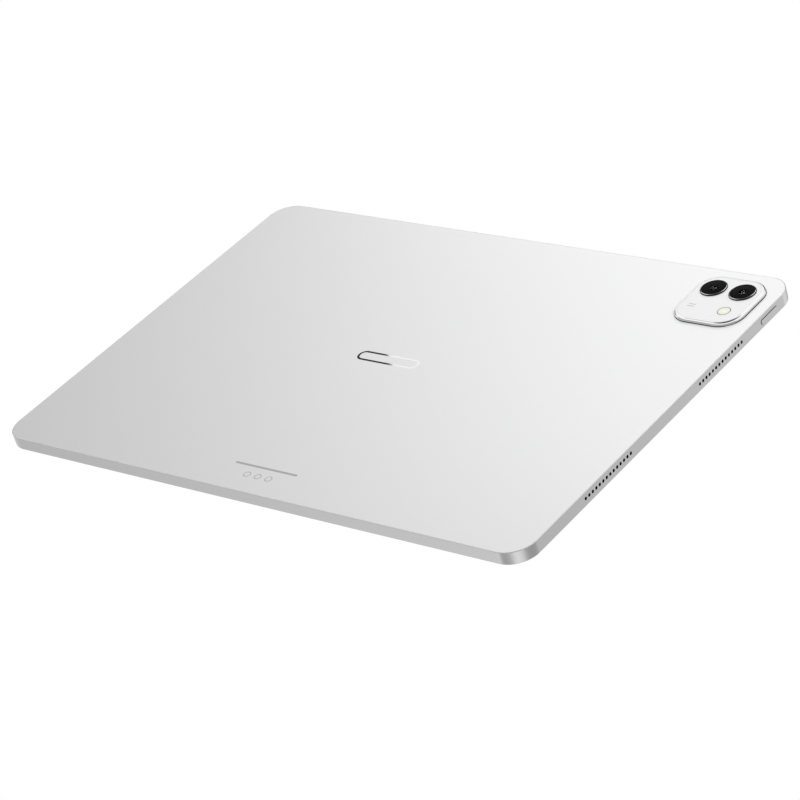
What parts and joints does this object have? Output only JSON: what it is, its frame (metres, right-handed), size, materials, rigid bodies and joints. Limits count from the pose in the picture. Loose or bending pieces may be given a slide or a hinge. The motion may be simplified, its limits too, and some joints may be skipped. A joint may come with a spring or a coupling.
{
  "type": "tablet computer",
  "caption": "Thin tablet computer with a painted back, metal side frame, raised corner camera platform, sound holes, side keys, charging port and glass front.",
  "frame": {"origin": "centre of the body on the face of the front glass, with the screen facing down", "axes": "+X along the long side towards the camera's short side, +Y along the short side towards the camera's long side, +Z out of the back"},
  "size_m": [0.2942, 0.2017, 0.0082],
  "materials": {
    "frame_metal": "fine bead-blasted and anodised, satin",
    "key_metal": "fine bead-blasted and anodised, satin",
    "cover_paint": "pearl white satin paint",
    "mark_mirror": "polished mirror inlay",
    "print_ink": "flat grey ink",
    "ring_metal": "polished, with a round edge",
    "deck_paint": "pearl white satin paint",
    "lens_ring_metal": "dark anodised, with a bright cut edge",
    "lens_glass": "polished, black behind",
    "flash_window": "frosted and faceted",
    "led_phosphor": "yellow phosphor",
    "dark_plastic": "moulded",
    "speaker_plastic": "glass-filled, moulded",
    "cone_plastic": "thin film with a copper winding",
    "spring_steel": "stamped, nickel plated",
    "mesh_fabric": "fine black woven mesh",
    "flex_film": "amber film",
    "board_laminate": "glass-epoxy laminate with solder mask",
    "magnet_metal": "nickel-plated sintered magnet",
    "front_glass": "polished, with a black border behind",
    "display_stack": "switched off, near black",
    "optic_plastic": "clear and diffusing",
    "tray_metal": "stamped sheet",
    "cell_pouch": "aluminium laminate pouch",
    "camera_plastic": "moulded, matt black",
    "coil_winding": "enamelled copper wire"
  },
  "bodies": {
    "housing": {"side_frame": "frame_metal", "rear_cover": "cover_paint", "centre_mark": "mark_mirror", "printed_marks": "print_ink", "camera_ring": "ring_metal", "camera_deck": "deck_paint", "main_lens_ring": "lens_ring_metal", "aux_lens_ring": "lens_ring_metal", "main_lens_cover": "lens_glass", "aux_lens_cover": "lens_glass", "flash_lens": "flash_window", "flash_led": "led_phosphor", "power_switch": "dark_plastic", "volume_switches": "dark_plastic", "key_brackets": "spring_steel", "key_flex": "flex_film", "usb_shell": "spring_steel", "usb_tongue": "dark_plastic", "sub_board": "board_laminate", "sub_board_flex": "flex_film", "speaker_box_1": "speaker_plastic", "speaker_box_2": "speaker_plastic", "speaker_box_3": "speaker_plastic", "speaker_box_4": "speaker_plastic", "speaker_magnets": "magnet_metal", "speaker_meshes": "mesh_fabric", "microphones": "spring_steel", "front_glass": "front_glass", "display_gasket": "dark_plastic", "lcd_panel": "display_stack", "film_stack": "optic_plastic", "light_guide": "optic_plastic", "led_bar": "led_phosphor", "backlight_tray": "tray_metal", "front_camera": "camera_plastic", "mid_plate": "tray_metal", "battery_cell_1": "cell_pouch", "battery_cell_2": "cell_pouch", "battery_board": "board_laminate", "main_board": "board_laminate", "chips": "dark_plastic", "shield_cans": "spring_steel", "board_connectors": "dark_plastic", "display_flex": "flex_film", "main_camera": "camera_plastic", "aux_camera": "camera_plastic", "camera_flexes": "flex_film", "screws": "spring_steel", "cover_magnets": "magnet_metal", "stylus_coil": "coil_winding", "antennas": "flex_film"},
    "power_key": {"power_button": "key_metal"},
    "power_stem": {"power_switch_stem": "dark_plastic"},
    "volume_key": {"volume_rocker": "key_metal"},
    "focus_carriage": {"lens_barrel": "camera_plastic", "focus_coil": "coil_winding"},
    "cone_1": {"diaphragm_1": "cone_plastic"},
    "cone_2": {"diaphragm_2": "cone_plastic"},
    "cone_3": {"diaphragm_3": "cone_plastic"},
    "cone_4": {"diaphragm_4": "cone_plastic"}
  },
  "joints": [
    {"name": "power_press", "type": "slide", "parent": "housing", "child": "power_key", "axis": [-1, 0, 0], "range_m": [0, 0.00025], "stiffness_N_per_m": 3200},
    {"name": "power_stem_press", "type": "slide", "parent": "housing", "child": "power_stem", "axis": [-1, 0, 0], "range_m": [0, 0.00025]},
    {"name": "volume_rock", "type": "hinge", "parent": "housing", "child": "volume_key", "pos_m": [0.0915, 0.09819, 0.00276], "axis": [0, 0, 1], "range_deg": [-1, 1], "stiffness_Nm_per_rad": 0.7},
    {"name": "autofocus", "type": "slide", "parent": "housing", "child": "focus_carriage", "axis": [0, 0, 1], "range_m": [0, 0.0003], "stiffness_N_per_m": 100},
    {"name": "cone_1_stroke", "type": "slide", "parent": "housing", "child": "cone_1", "axis": [0, 0, 1], "range_m": [-0.0002, 0.0002], "stiffness_N_per_m": 500},
    {"name": "cone_2_stroke", "type": "slide", "parent": "housing", "child": "cone_2", "axis": [0, 0, 1], "range_m": [-0.0002, 0.0002], "stiffness_N_per_m": 500},
    {"name": "cone_3_stroke", "type": "slide", "parent": "housing", "child": "cone_3", "axis": [0, 0, 1], "range_m": [-0.0002, 0.0002], "stiffness_N_per_m": 500},
    {"name": "cone_4_stroke", "type": "slide", "parent": "housing", "child": "cone_4", "axis": [0, 0, 1], "range_m": [-0.0002, 0.0002], "stiffness_N_per_m": 500}
  ],
  "couplings": [
    {"joint": "power_stem_press", "follows": "power_press", "ratio": 1}
  ]
}
